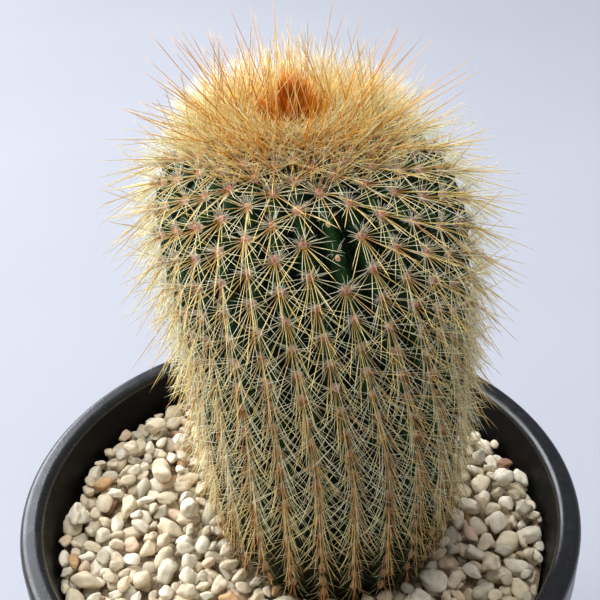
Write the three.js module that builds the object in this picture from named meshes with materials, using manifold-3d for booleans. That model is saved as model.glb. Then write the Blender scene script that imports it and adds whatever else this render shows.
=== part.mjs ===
// A columnar round cactus in a plastic pot, in millimetres, +Z up.
// The origin is on the ground under the middle of the pot.
// The ribbed stem stands a little to one side of the pot and leans back towards its middle.
import * as THREE from 'three';
import { mergeVertices } from 'three/addons/utils/BufferGeometryUtils.js';
import Module from 'manifold-3d';

const wasm = await Module();
wasm.setup();

// Pot: a thin tapered wall, a rounded lip turned down into a skirt, and a ring to stand on.
const POT_HEIGHT = 95;
const LIP_RADIUS = 60;
const LIP_WIDTH = 4.8;
const LIP_ROUNDING = 1.6;
const LIP_THICKNESS = 2.4;
const SKIRT_DEPTH = 9;
const WALL = 1.3;
const WALL_TAPER = 0.15;
const FLOOR_THICKNESS = 1.8;
const FLOOR_ROUNDING = 4;
const FOOT_HEIGHT = 2.5;
const FOOT_WIDTH = 3;
const DRAIN_RADIUS = 10;

// Filling: soil up to the gravel, and gravel up to a little below the lip.
const GRAVEL_DEPTH = 8.5;
const GRAVEL_LAYER = 11;
const GRAVEL_BUMP = 0.4;

// Loose pebbles that lie on the gravel.
const PEBBLE_COUNT = 23;
const PEBBLE_LENGTH = 6.4;
const PEBBLE_WIDTH = 5;
const PEBBLE_THICKNESS = 3.8;

// Stem: measured from the gravel up, with a root collar that tapers down into the soil.
const STEM_HEIGHT = 94;
const STEM_BASE_RADIUS = 22.5;
const STEM_WAIST_RADIUS = 26.2;
const STEM_SHOULDER_RADIUS = 28.3;
const STEM_OFFSET_X = 7.4;
const STEM_OFFSET_Y = -1.4;
const STEM_LEAN = 6;
const RIB_DEPTH = 2.6;
const COLLAR_DEPTH = 22;

// Ribs: some start at the gravel, and new ones push in between them further up.
// The first rib runs straight up at FIRST_RIB_TURN, and the new ones are numbered after it.
const BASE_RIB_COUNT = 24;
const FIRST_RIB_TURN = 248;
const NEW_RIB_FOLLOWS = [5, 8, 10, 12, 14, 16, 18, 21];
const NEW_RIB_START = 36;
const NEW_RIB_SPREAD = 30;
const NEW_RIB_GROWTH = 36;
const NEW_RIB_SEED = 0.12;

// Spines: one stout spine stands on each areole, and a tuft of the newest ones on the crown.
const AREOLE_PITCH = 5.2;
const AREOLE_LENGTH = 1.1;
const STRIP_WIDTH = 0.9;
const STRIP_HEIGHT = 0.8;
const SPINE_LENGTH = 11;
const SPINE_DROOP = 0.25;
const FIRST_AREOLE_HEIGHT = 6.5;
const CROWN_RADIUS = 7.5;
const CROWN_THICKNESS = 1.4;
const CROWN_SPINE_LENGTH = 17;
const CROWN_SPREAD = 0.35;

// Gap kept between pieces that touch.
const GAP = 0.3;

const TURN = 2 * Math.PI;
const RING_SEGMENTS = 48;

const gravelTop = POT_HEIGHT - GRAVEL_DEPTH;
const gravelBottom = gravelTop - GRAVEL_LAYER;
const soilTop = gravelBottom - GAP;
const floorTop = FOOT_HEIGHT + FLOOR_THICKNESS;
const pebbleTop = gravelTop + GRAVEL_BUMP + GAP + PEBBLE_THICKNESS;

/** The pot wall's inner radius at a height. */
const innerRadius = (z) => LIP_RADIUS - LIP_WIDTH - WALL_TAPER * (POT_HEIGHT - z);

/** A repeatable number from 0 to 1 for each pair of whole numbers. */
function chance(index, channel) {
  const wave = Math.sin(index * 12.9898 + channel * 78.233) * 43758.5453;
  return wave - Math.floor(wave);
}

/** Points along an arc of a circle in the radius and height plane. */
function arc(centreR, centreZ, radius, from, to, steps) {
  const points = [];
  for (let i = 0; i <= steps; i += 1) {
    const angle = from + ((to - from) * i) / steps;
    points.push([centreR + radius * Math.cos(angle), centreZ + radius * Math.sin(angle)]);
  }
  return points;
}

/** A solid turned about the Z axis from an outline that meets the axis or closes on itself. */
function turned(outline, segments = RING_SEGMENTS) {
  const points = outline.map(([radius, z]) => new THREE.Vector2(radius, z));
  return new THREE.LatheGeometry(points, segments).rotateX(Math.PI / 2);
}

/** A geometry from points and triangles that share them. */
function indexed(points, triangles) {
  const geometry = new THREE.BufferGeometry();
  const numbers = points.flatMap((point) => point.toArray());
  geometry.setAttribute('position', new THREE.Float32BufferAttribute(numbers, 3));
  geometry.setIndex(triangles.flat());
  geometry.computeVertexNormals();
  return geometry;
}

/** A closed skin from a lowest point, over rings of points, to a highest point. */
function skinned(lowest, rings, highest) {
  const count = rings[0].length;
  const points = [lowest, ...rings.flat(), highest];
  const last = points.length - 1;
  const triangles = [];
  for (let i = 0; i < count; i += 1) {
    const next = (i + 1) % count;
    triangles.push([0, 1 + next, 1 + i]);
    for (let ring = 0; ring < rings.length - 1; ring += 1) {
      const below = 1 + ring * count;
      const above = below + count;
      triangles.push([below + i, below + next, above + next], [below + i, above + next, above + i]);
    }
    triangles.push([last - count + i, last - count + next, last]);
  }
  return indexed(points, triangles);
}

/** The solid that the boolean library needs, from a closed geometry. */
function solid(geometry) {
  const bare = geometry.clone();
  bare.deleteAttribute('normal');
  bare.deleteAttribute('uv');
  const welded = mergeVertices(bare);
  return new wasm.Manifold(new wasm.Mesh({
    numProp: 3,
    vertProperties: new Float32Array(welded.attributes.position.array),
    triVerts: new Uint32Array(welded.index.array),
  }));
}

/** One geometry with others cut out of it. */
function cut(geometry, cutters) {
  let body = solid(geometry);
  for (const cutter of cutters) body = body.subtract(solid(cutter));
  const mesh = body.getMesh();
  const result = new THREE.BufferGeometry();
  result.setAttribute('position', new THREE.Float32BufferAttribute(mesh.vertProperties, mesh.numProp));
  result.setIndex(new THREE.Uint32BufferAttribute(mesh.triVerts, 1));
  result.computeVertexNormals();
  return result;
}

// Pot ------------------------------------------------------------------------------------------

function potOutline() {
  const lipInner = LIP_RADIUS - LIP_WIDTH;
  const lipUnderside = POT_HEIGHT - LIP_THICKNESS;
  const skirtBottom = POT_HEIGHT - SKIRT_DEPTH;
  const skirtInner = LIP_RADIUS - WALL;
  const footOuter = innerRadius(0) + WALL;
  const footInner = footOuter - FOOT_WIDTH;
  const wallRadiusAtFloor = innerRadius(floorTop);
  const roundingHeight = POT_HEIGHT - LIP_ROUNDING;
  return [
    [DRAIN_RADIUS, floorTop],
    [DRAIN_RADIUS, FOOT_HEIGHT],
    [footInner, FOOT_HEIGHT],
    [footInner, 0],
    [footOuter, 0],
    [innerRadius(lipUnderside) + WALL, lipUnderside],
    [skirtInner, lipUnderside],
    [skirtInner, skirtBottom],
    [LIP_RADIUS, skirtBottom],
    ...arc(LIP_RADIUS - LIP_ROUNDING, roundingHeight, LIP_ROUNDING, 0, Math.PI / 2, 3),
    ...arc(lipInner + LIP_ROUNDING, roundingHeight, LIP_ROUNDING, Math.PI / 2, Math.PI, 3),
    [wallRadiusAtFloor + WALL_TAPER * FLOOR_ROUNDING, floorTop + FLOOR_ROUNDING],
    [wallRadiusAtFloor - FLOOR_ROUNDING, floorTop],
    [DRAIN_RADIUS, floorTop],
  ];
}

/** The pot's outline closes on itself around the drain, so the turned pot has a round hole. */
function potGeometry() {
  return turned(potOutline());
}

// Stem -----------------------------------------------------------------------------------------

/** The outline of the rib crests, from the gravel to the top of the stem. */
const crestOutline = new THREE.SplineCurve([
  new THREE.Vector2(STEM_BASE_RADIUS, 0),
  new THREE.Vector2(STEM_WAIST_RADIUS - 1, 0.12 * STEM_HEIGHT),
  new THREE.Vector2(STEM_WAIST_RADIUS, 0.34 * STEM_HEIGHT),
  new THREE.Vector2((STEM_WAIST_RADIUS + STEM_SHOULDER_RADIUS) / 2, 0.56 * STEM_HEIGHT),
  new THREE.Vector2(STEM_SHOULDER_RADIUS, 0.75 * STEM_HEIGHT),
  new THREE.Vector2(0.94 * STEM_SHOULDER_RADIUS, 0.88 * STEM_HEIGHT),
  new THREE.Vector2(0.72 * STEM_SHOULDER_RADIUS, 0.96 * STEM_HEIGHT),
  new THREE.Vector2(0.38 * STEM_SHOULDER_RADIUS, 0.995 * STEM_HEIGHT),
  new THREE.Vector2(0, STEM_HEIGHT),
]);

const outlineLength = crestOutline.getLength();

/** The root collar's outline below the gravel, from its tip up, without the ring at the gravel. */
const collarOutline = [
  [0.3 * STEM_BASE_RADIUS, -0.9 * COLLAR_DEPTH],
  [0.62 * STEM_BASE_RADIUS, -0.55 * COLLAR_DEPTH],
  [0.86 * STEM_BASE_RADIUS, -0.25 * COLLAR_DEPTH],
];

/** The stem's middle, which leans as it rises. */
function stemMiddle(height) {
  const rise = Math.max(0, height) / STEM_HEIGHT;
  return new THREE.Vector3(STEM_OFFSET_X - STEM_LEAN * rise ** 3, STEM_OFFSET_Y, gravelTop + height);
}

/** A point at a radius around the stem's middle. */
function aroundStem(angle, radius, height) {
  const out = new THREE.Vector3(Math.cos(angle), Math.sin(angle), 0);
  return stemMiddle(height).addScaledVector(out, radius);
}

/** Each rib in turn around the stem, with the distance up the outline at which it starts. */
const ribs = [];
for (let i = 0; i < BASE_RIB_COUNT; i += 1) {
  ribs.push({ start: 0 });
  const born = NEW_RIB_FOLLOWS.indexOf(i);
  if (born >= 0) ribs.push({ start: NEW_RIB_START + NEW_RIB_SPREAD * (chance(born, 9) - 0.5) });
}

/** A rib's width beside that of a full one. */
function ribWidth(rib, distance) {
  if (rib.start === 0) return 1;
  const grown = THREE.MathUtils.smoothstep(distance, rib.start, rib.start + NEW_RIB_GROWTH);
  return THREE.MathUtils.lerp(NEW_RIB_SEED, 1, grown);
}

/** The angle of each rib's crest, and of the valley after it, at a distance up the outline. */
function ribAngles(distance) {
  const widths = ribs.map((rib) => ribWidth(rib, distance));
  const total = widths.reduce((sum, width) => sum + width, 0);
  let reached = -widths[0] / 2;
  return widths.map((width) => {
    const crest = reached + width / 2;
    reached += width;
    const toAngle = (share) => THREE.MathUtils.degToRad(FIRST_RIB_TURN) + (TURN * share) / total;
    return { crest: toAngle(crest), valley: toAngle(reached), width };
  });
}

/** How deep the valleys between the ribs are where the crests have this radius and height. */
function valleyDepth(radius, height) {
  const crownFade = Math.min(1, radius / STEM_SHOULDER_RADIUS);
  const baseFade = THREE.MathUtils.clamp(0.4 + height / (0.3 * STEM_HEIGHT), 0, 1);
  return RIB_DEPTH * crownFade * baseFade;
}

/** A ring around the stem whose points are crest, valley, crest, valley. */
function ribbedRing(radius, height, distance) {
  const depth = valleyDepth(radius, height);
  return ribAngles(distance).flatMap(({ crest, valley, width }) => [
    aroundStem(crest, radius - depth * 0.9 * (1 - width), height),
    aroundStem(valley, radius - depth, height),
  ]);
}

function stemGeometry() {
  const levels = 22;
  const rings = collarOutline.map(([radius, height]) => ribbedRing(radius, height, 0));
  for (let i = 0; i < levels; i += 1) {
    const place = crestOutline.getPointAt(i / levels);
    rings.push(ribbedRing(place.x, place.y, (outlineLength * i) / levels));
  }
  return skinned(stemMiddle(-COLLAR_DEPTH), rings, stemMiddle(STEM_HEIGHT));
}

/** The room that the root collar takes in the soil and the gravel, with the gap all round it. */
function collarRoom() {
  const spread = (radius) => radius + 2 * GAP;
  const steps = [...collarOutline, [STEM_BASE_RADIUS, 0], [STEM_WAIST_RADIUS, 0.12 * STEM_HEIGHT]];
  const rings = steps.map(([radius, height]) => {
    const ring = [];
    for (let i = 0; i < RING_SEGMENTS; i += 1) {
      ring.push(aroundStem((TURN * i) / RING_SEGMENTS, spread(radius), height - GAP));
    }
    return ring;
  });
  const tip = stemMiddle(-COLLAR_DEPTH - 2 * GAP);
  return skinned(tip, rings, stemMiddle(0.12 * STEM_HEIGHT));
}

// Filling --------------------------------------------------------------------------------------

function soilGeometry() {
  const bottom = floorTop + GAP;
  const chamfer = FLOOR_ROUNDING + GAP;
  const outline = [
    [0, bottom],
    [innerRadius(bottom) - GAP - chamfer, bottom],
    [innerRadius(bottom + chamfer) - GAP, bottom + chamfer],
    [innerRadius(soilTop) - GAP, soilTop],
    [0, soilTop],
  ];
  return cut(turned(outline), [collarRoom()]);
}

/** The gravel's uneven surface. */
function gravelHeight(x, y) {
  const wave = Math.sin(0.9 * x + 1.3) * Math.sin(0.8 * y) + Math.sin(0.5 * x - 0.7 * y);
  return gravelTop + GRAVEL_BUMP * 0.5 * wave;
}

function gravelGeometry() {
  const ring = (radius, heightAt) => {
    const points = [];
    for (let i = 0; i < RING_SEGMENTS; i += 1) {
      const x = radius * Math.cos((TURN * i) / RING_SEGMENTS);
      const y = radius * Math.sin((TURN * i) / RING_SEGMENTS);
      points.push(new THREE.Vector3(x, y, heightAt(x, y)));
    }
    return points;
  };
  const edge = innerRadius(gravelTop - GRAVEL_BUMP) - GAP;
  const rings = [ring(innerRadius(gravelBottom) - GAP, () => gravelBottom)];
  for (const share of [1, 0.94, 0.86, 0.78, 0.7, 0.6]) rings.push(ring(edge * share, gravelHeight));
  const middle = new THREE.Vector3(0, 0, gravelTop);
  const underside = new THREE.Vector3(0, 0, gravelBottom);
  return cut(skinned(underside, rings, middle), [collarRoom()]);
}

// Pebbles --------------------------------------------------------------------------------------

/** A rounded, slightly angular stone lying flat. */
function pebbleGeometry(index) {
  const stone = new THREE.DodecahedronGeometry(0.5, 0);
  stone.deleteAttribute('normal');
  stone.deleteAttribute('uv');
  const geometry = mergeVertices(stone, 1e-4);
  const corners = geometry.attributes.position;
  for (let i = 0; i < corners.count; i += 1) {
    const swell = 1 - 0.16 * chance(index * 31 + i, 1);
    corners.setXYZ(i, corners.getX(i) * swell, corners.getY(i) * swell, corners.getZ(i) * swell);
  }
  const size = 0.82 + 0.18 * chance(index, 2);
  geometry.scale(PEBBLE_LENGTH * size, PEBBLE_WIDTH * size, PEBBLE_THICKNESS * size);
  geometry.computeVertexNormals();
  return geometry;
}

/** Places on the gravel, clear of the wall, of the stem's lowest spines and of each other. */
function pebblePlaces() {
  const places = [];
  const reach = innerRadius(gravelTop) - PEBBLE_LENGTH / 2 - 2 * GAP;
  const stemReach = STEM_WAIST_RADIUS + PEBBLE_LENGTH / 2 + 2 * GAP;
  const middle = stemMiddle(0);
  const tries = 1200;
  for (let i = 0; i < tries && places.length < PEBBLE_COUNT; i += 1) {
    const angle = TURN * chance(i, 3);
    const radius = reach * Math.sqrt(chance(i, 4));
    const x = radius * Math.cos(angle);
    const y = radius * Math.sin(angle);
    const clearOfStem = Math.hypot(x - middle.x, y - middle.y) > stemReach;
    const clearOfOthers = places.every((p) => Math.hypot(x - p.x, y - p.y) > PEBBLE_LENGTH + GAP);
    if (clearOfStem && clearOfOthers) places.push({ x, y });
  }
  return places;
}

// Spines ---------------------------------------------------------------------------------------

/** A crest point and its directions, at a distance along the outline from the gravel. */
function crestFrame(angle, distance) {
  const share = THREE.MathUtils.clamp(distance / outlineLength, 0, 1);
  const place = crestOutline.getPointAt(share);
  const slope = crestOutline.getTangentAt(share);
  const side = new THREE.Vector3(-Math.sin(angle), Math.cos(angle), 0);
  const outward = new THREE.Vector3(Math.cos(angle), Math.sin(angle), 0);
  const normal = outward.clone().multiplyScalar(slope.y);
  normal.z = -slope.x;
  const along = outward.clone().multiplyScalar(slope.x);
  along.z = slope.y;
  return { point: aroundStem(angle, place.x, place.y), side, normal, along, radius: place.x };
}

/** The distances along the outline at which a rib carries an areole. */
function areoleDistances(rib) {
  const first = rib.start === 0 ? FIRST_AREOLE_HEIGHT : rib.start + 0.6 * NEW_RIB_GROWTH;
  const last = outlineLength - CROWN_RADIUS - 2 * AREOLE_LENGTH;
  const distances = [];
  for (let d = first; d < last; d += AREOLE_PITCH) distances.push(d);
  return distances;
}

/** A rib's row of areoles: a narrow strip on the crest with a spine rising from each areole. */
function spineRowGeometry(index) {
  const points = [];
  const triangles = [];
  const section = (distance) => {
    const { point, side, normal } = crestFrame(ribAngles(distance)[index].crest, distance);
    const base = point.clone().addScaledVector(normal, GAP);
    points.push(
      base.clone().addScaledVector(side, STRIP_WIDTH / 2),
      base.clone().addScaledVector(side, -STRIP_WIDTH / 2),
      base.clone().addScaledVector(normal, STRIP_HEIGHT),
    );
    return points.length - 3;
  };
  let previous = null;
  for (const distance of areoleDistances(ribs[index])) {
    const low = section(distance - AREOLE_LENGTH / 2);
    const high = section(distance + AREOLE_LENGTH / 2);
    const { point, normal, along } = crestFrame(ribAngles(distance)[index].crest, distance);
    const direction = normal.clone().addScaledVector(along, -SPINE_DROOP).normalize();
    const end = point.clone().addScaledVector(direction, SPINE_LENGTH);
    end.z = Math.max(end.z, pebbleTop + GAP);
    const tip = points.push(end) - 1;
    if (previous === null) {
      triangles.push([low, low + 2, low + 1]);
    } else {
      triangles.push([previous, previous + 1, low + 1], [previous, low + 1, low]);
      triangles.push([previous + 1, previous + 2, low + 2], [previous + 1, low + 2, low + 1]);
      triangles.push([previous + 2, previous, low], [previous + 2, low, low + 2]);
    }
    triangles.push([low, low + 1, high + 1], [low, high + 1, high]);
    const foot = [low, high, high + 2, high + 1, low + 1, low + 2];
    foot.forEach((corner, i) => triangles.push([corner, foot[(i + 1) % foot.length], tip]));
    previous = high;
  }
  triangles.push([previous, previous + 1, previous + 2]);
  return indexed(points, triangles);
}

/** The crown's cap of new spines: a thin round pad with a spike rising from each of its facets. */
function crownGeometry() {
  const count = 12;
  const ringRadii = [CROWN_RADIUS, 0.64 * CROWN_RADIUS, 0.3 * CROWN_RADIUS];
  const lift = (spread, height) => ringRadii.map((radius) => {
    const ring = [];
    for (let i = 0; i < count; i += 1) {
      const { point, normal } = crestFrame((TURN * i) / count, outlineLength - radius * spread);
      ring.push(point.addScaledVector(normal, height));
    }
    return ring;
  });
  const under = lift(1, 2 * GAP);
  const upper = lift(0.92, CROWN_THICKNESS);
  const top = crestFrame(0, outlineLength).point;
  const points = [...under.flat(), ...upper.flat()];
  const underMiddle = points.push(top.clone().add(new THREE.Vector3(0, 0, 2 * GAP))) - 1;
  const upperMiddle = points.push(top.clone().add(new THREE.Vector3(0, 0, CROWN_THICKNESS))) - 1;
  const upperStart = under.length * count;
  const triangles = [];
  const spike = (corners, length) => {
    const middle = new THREE.Vector3();
    corners.forEach((corner) => middle.addScaledVector(points[corner], 1 / corners.length));
    const lean = middle.clone().sub(top).setZ(0).multiplyScalar(CROWN_SPREAD / CROWN_RADIUS);
    const direction = new THREE.Vector3(lean.x, lean.y, 1).normalize();
    const tip = points.push(middle.addScaledVector(direction, length)) - 1;
    corners.forEach((corner, i) => triangles.push([corner, corners[(i + 1) % corners.length], tip]));
  };
  for (let i = 0; i < count; i += 1) {
    const next = (i + 1) % count;
    for (let ring = 0; ring < ringRadii.length - 1; ring += 1) {
      const outer = ring * count;
      const inner = outer + count;
      triangles.push([outer + next, outer + i, inner + i], [outer + next, inner + i, inner + next]);
      const length = CROWN_SPINE_LENGTH * (0.7 + 0.3 * chance(i, 5 + ring));
      const [a, b, c, d] = [outer + i, outer + next, inner + next, inner + i].map((k) => k + upperStart);
      spike([a, b, c, d], length);
    }
    const innermost = (ringRadii.length - 1) * count;
    triangles.push([innermost + next, innermost + i, underMiddle]);
    triangles.push([upperStart + innermost + i, upperStart + innermost + next, upperMiddle]);
    triangles.push([i, next, upperStart + next], [i, upperStart + next, upperStart + i]);
  }
  return indexed(points, triangles);
}

// Materials ------------------------------------------------------------------------------------

const surface = (color, roughness) => new THREE.MeshStandardMaterial({ color, roughness, metalness: 0 });

const potPlastic = surface(0x15171a, 0.35);
const soilMix = surface(0x33261c, 0.95);
const gravelStone = surface(0xcdbfa6, 0.85);
const stemSkin = surface(0x33502a, 0.55);
const spineGold = surface(0xe3cd88, 0.5);
const crownRust = surface(0xc7661f, 0.55);
const pebbleStones = [
  surface(0xe6dcc9, 0.8),
  surface(0xd8c8ab, 0.8),
  surface(0xefe9dd, 0.8),
  surface(0xc9a887, 0.8),
];

// Assembly -------------------------------------------------------------------------------------

const cactus = new THREE.Group();
cactus.name = 'potted_cactus';

function place(name, geometry, material) {
  const mesh = new THREE.Mesh(geometry, material);
  mesh.name = name;
  cactus.add(mesh);
  return mesh;
}

const numbered = (word, index) => `${word}_${String(index + 1).padStart(2, '0')}`;

place('pot', potGeometry(), potPlastic);
place('soil', soilGeometry(), soilMix);
place('gravel_bed', gravelGeometry(), gravelStone);
place('stem', stemGeometry(), stemSkin);

pebblePlaces().forEach(({ x, y }, index) => {
  const material = pebbleStones[Math.floor(pebbleStones.length * chance(index, 7))];
  const pebble = place(numbered('pebble', index), pebbleGeometry(index), material);
  pebble.geometry.computeBoundingBox();
  pebble.position.set(x, y, gravelTop + GRAVEL_BUMP + GAP - pebble.geometry.boundingBox.min.z);
  pebble.rotation.z = TURN * chance(index, 8);
});

ribs.forEach((rib, index) => place(numbered('spine_row', index), spineRowGeometry(index), spineGold));
place('crown_tuft', crownGeometry(), crownRust);

export default cactus;
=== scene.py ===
"""The finished look of a potted columnar cactus, built around its CAD frame.

Shapes are worked out in millimetres, and Batch.build turns them into metres. The floor, the lights and the
camera are placed in metres. A distance on the stem is measured up along its outline, from the gravel.
"""

import math

import bmesh
import bpy
import numpy as np
from mathutils import Matrix, Vector


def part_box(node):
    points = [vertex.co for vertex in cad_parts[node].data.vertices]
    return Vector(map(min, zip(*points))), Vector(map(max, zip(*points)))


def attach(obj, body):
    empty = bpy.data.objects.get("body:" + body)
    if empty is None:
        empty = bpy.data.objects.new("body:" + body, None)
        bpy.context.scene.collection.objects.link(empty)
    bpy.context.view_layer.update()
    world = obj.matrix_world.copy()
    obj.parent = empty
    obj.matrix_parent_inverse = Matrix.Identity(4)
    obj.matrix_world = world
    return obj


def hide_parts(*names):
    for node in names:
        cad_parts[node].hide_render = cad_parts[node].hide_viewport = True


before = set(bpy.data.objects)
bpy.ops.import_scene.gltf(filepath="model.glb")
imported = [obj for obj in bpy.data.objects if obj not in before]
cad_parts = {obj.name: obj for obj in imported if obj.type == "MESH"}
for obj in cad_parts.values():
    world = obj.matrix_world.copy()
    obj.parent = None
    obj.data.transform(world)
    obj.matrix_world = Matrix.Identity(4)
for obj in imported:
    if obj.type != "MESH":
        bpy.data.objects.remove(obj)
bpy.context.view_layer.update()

# Every random draw comes from this one source, so the order in which things are made matters.
rng = np.random.default_rng(20)

MM = 0.001
UV_NAME = "OFBake"
TINT_NAME = "tint"

# Pot, which narrows by WALL_TAPER for each millimetre down
POT_HEIGHT = 95
POT_SIDES = 192
LIP_RADIUS = 60
LIP_WIDTH = 4.8
LIP_ROUNDING = 1.6
LIP_STEPS = 9
LIP_THICKNESS = 2.4
SKIRT_DEPTH = 9
WALL = 1.3
WALL_TAPER = 0.15
OUTER_WALL_RING = 40
INNER_WALL_RING = 60
FOOT_HEIGHT = 2.5
FOOT_WIDTH = 3
FLOOR_TOP = 4.3
FLOOR_COVE = 4
DRAIN_RADIUS = 10
EDGE_ROUNDING = 0.45
EDGE_STEPS = 5
OUTSIDE_FINISH = {"smooth": 0.22, "rough": 0.38, "specular": 0.5, "pale": 2.1}
# The inside is the same plastic, rougher and less glossy; its lower pale darkens it as painted shade
SHADED_INSIDE_FINISH = {"smooth": 0.42, "rough": 0.6, "specular": 0.12, "pale": 0.9}

# Gravel
GRAVEL_TOP = 86.5
GRAVEL_CREST = 87.6
GRAVEL_DEPTH = 5.5
GRAVEL_LAYERS = ("gravel_lower", "gravel_middle", "gravel_upper")
PEBBLE_COUNT = 23
PEBBLE_GROWTH = 1.02

# Each stone's length, and its width and thickness as shares of the length
STONE_LENGTH = (2.9, 6.8)
STONE_WIDTH = (0.5, 0.82)
STONE_THICKNESS = (0.42, 0.66)

# Each stone's shape: flat faces at these shares of its radius, how sharply they meet, the share beyond which
# it is round, and a few low waves
STONE_FACES = 15
STONE_FACE_REACH = (0.56, 1.0)
STONE_SOFTNESS = 15
STONE_ROUND_REACH = 1.1
STONE_WAVES = 4
STONE_WAVE_HEIGHT = 0.035

# How a stone tips about two axes, how its colour varies, its gap to the pot and its patch of texture
STONE_TILTS = (0.2, 0.16)
STONE_BRIGHTNESS = (0.84, 1.08)
STONE_WALL_GAP = 0.3
STONE_DISC = 0.38

# The sRGB colours of the stones, each with the share of the stones that have it or one before it
STONE_SHADES = [
    (0.46, (224, 210, 182)), (0.76, (236, 228, 208)), (0.87, (200, 193, 172)),
    (0.95, (222, 196, 168)), (0.985, (204, 166, 120)), (1.0, (158, 122, 98)),
]

# How stones are dropped: the cell of the map of the ground, half the map's width, the share of its underside
# that a stone keeps above the ones below, how many places each one tries, and how many may find none
GROUND_CELL = 0.4
GROUND_HALF = 56
STONE_REST = 0.86
PLACES_TRIED = 16
MISSES_ALLOWED = 260

# The gritty floor between the stones
GRIT_ROWS = 30
GRIT_COLUMNS = 150
GRIT_INNER_RADIUS = 20
GRIT_DEPTH = 4.2
GRIT_ROUGHNESS = 0.35
GRIT_WALL_GAP = 0.4

# Stem, with its outline as radii and heights above the gravel, and how it goes on below the gravel
STEM_HEIGHT = 94
STEM_MIDDLE = (7.4, -1.4)
STEM_LEAN = 6
STEM_OUTLINE = [
    (22.5, 0), (25.2, 11.28), (26.2, 31.96), (27.25, 52.64), (28.3, 70.5),
    (26.602, 82.72), (20.376, 90.24), (10.754, 93.53), (0, 94),
]
OUTLINE_STEPS = 60
BURIED_DEPTH = 6
BURIED_NARROWING = 3
STEM_LEVELS = 236
RIB_COLUMNS = 10
SHOULDER_RADIUS = 28.3
RIB_DEPTH = 3.1
RIB_ROUNDNESS = 1.7
CROWN_FLATTENING = 0.8
FIRST_RIB_TURN = math.radians(248)

# The share of their depth that the ribs have at the gravel, the height that would add 1 to it, and its least
GRAVEL_DEPTH_SHARE = 0.55
DEPTH_RISE = 40
LEAST_DEPTH_SHARE = 0.3

# The swelling under each areole, the distances over which it starts, and the radius below which it fades
AREOLE_SWELL = 0.3
SWELL_ZONE = (4, 20)
SWELL_RADIUS = 12

# Painted shade and light: dark valleys, lighter crests, darker towards the base; the skin also turns corky
# there
VALLEY_PAINTED_SHADE = 0.04
CREST_PAINTED_LIGHT = 0.86
CREST_PAINTED_LIGHT_POWER = 2.2
BASE_PAINTED_SHADE_ZONE = (6, 36)
BASE_PAINTED_SHADE = 0.35
UPPER_PAINTED_SHADE = 0.65
CORK_ZONE = (0, 14)
CORK_TINT = (0.9, 0.25, 0.2)

# The ribs at the front stand closer together, the more the higher up between these distances
FRONT_CLOSENESS = 0.1
FRONT_CLOSING = (58, 90)

# New ribs start part-way up, each after one of the first ribs
BASE_RIB_COUNT = 24
NEW_RIB_FOLLOWS = [5, 8, 10, 12, 14, 16, 18, 21]
NEW_RIB_START = 36
NEW_RIB_SPREAD = 30
NEW_RIB_GROWTH = 36
NEW_RIB_SEED = 0.12
NEW_RIB_DROP = 0.9
NEW_RIB_CHANNEL = 9

# Areoles, with the pitch between them at five distances; new ribs have none at first, as they grow
AREOLE_DISTANCES = (0, 30, 70, 92, 108)
AREOLE_PITCHES = (4.4, 4.7, 5.5, 5.2, 2.4)
AREOLE_STAGGER = 2.8
AREOLE_JITTER = 0.4
LOWEST_AREOLE = 2.5
NEW_RIB_BARE_SHARE = 0.3
HIGHEST_AREOLE_GAP = 6.5
BARE_RIB = 3
BARE_AREOLES = (82.5, 88.5)
BARE_REACH = 2.2

# Spines. Each zone is the pair of distances between which the growth changes.
RADIAL_BASE_ZONE = (6, 34)
RADIAL_UPPER_ZONE = (45, 80)
RADIAL_CROWN_ZONE = (93, 104)
PALE_UPPER_ZONE = (30, 75)
CENTRAL_BASE_ZONE = (4, 32)
CENTRAL_UPPER_ZONE = (40, 78)
CENTRAL_CROWN_ZONE = (88, 102)
CUSHION_BASE_ZONE = (3, 30)
WOOL_UPPER_ZONE = (35, 75)
HIGHEST_SPINE = 211
SPINE_SEAT = 0.35
CENTRAL_SEAT = 0.4
CUSHION_SIDES = 9
CUSHION_SHARES = (0.3, 0.62, 0.86, 1.0)
CUSHION_RISES = (0.95, 0.74, 0.36, -0.35)
CUSHION_RAGGED = 0.14
CUSHION_UNEVEN = 0.08

# How far from the areole's middle each kind of spine stands, its thickness, and how much it curls and droops
RADIAL_OUT, RADIAL_THICKNESS = (0.2, 0.75), (0.056, 0.08)
RADIAL_CURL, RADIAL_DROOP = 0.022, 0.08
PALE_OUT, PALE_THICKNESS, PALE_CURL = (0.3, 0.9), (0.05, 0.075), 0.07
CENTRAL_OUT, CENTRAL_THICKNESS = 0.3, (0.075, 0.105)
CENTRAL_CURL, CENTRAL_DROOP = 0.03, 0.05
HAIR_OUT, HAIR_THICKNESS, HAIR_CURL = (0.2, 0.95), (0.045, 0.065), 0.35

# The five central spines an areole may have: turn from straight down, lift in degrees, length, and what the
# crown adds to it
CENTRAL_TURNS = (0, 0.5, -0.5, 1.5, -1.5)
CENTRAL_LIFTS = (14, 20, 30, 34, 40)
CENTRAL_LENGTHS = (12, 12, 11, 10, 9)
CENTRAL_CROWN_LENGTHS = (0, 1, 1, 7, 7)

# How far up a needle its rings are
FINE_STEPS = (0, 0.4, 0.75)
STOUT_STEPS = (0, 0.3, 0.6, 0.85)
HAIR_STEPS = (0, 0.5)
NEEDLE_TAPER = 0.55

# Places in FIBRES
RADIAL, CENTRAL, WOOL = 0, 1, 2

# The texture's column for a tone of 0, and how much further on the one for a tone of 1 is
RADIAL_COLUMNS = (0.004, 0.488)
CENTRAL_COLUMNS = (0.506, 0.236)

# The first and the last column of the pale spines, the columns of the wool, and the width that a needle takes
PALE_COLUMNS = (0.01, 0.1)
WOOL_PINK, WOOL_TAN, WOOL_WHITE, WOOL_BARE = 0.762, 0.802, 0.862, 0.922
COLUMN_WIDTH = 0.004

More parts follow.
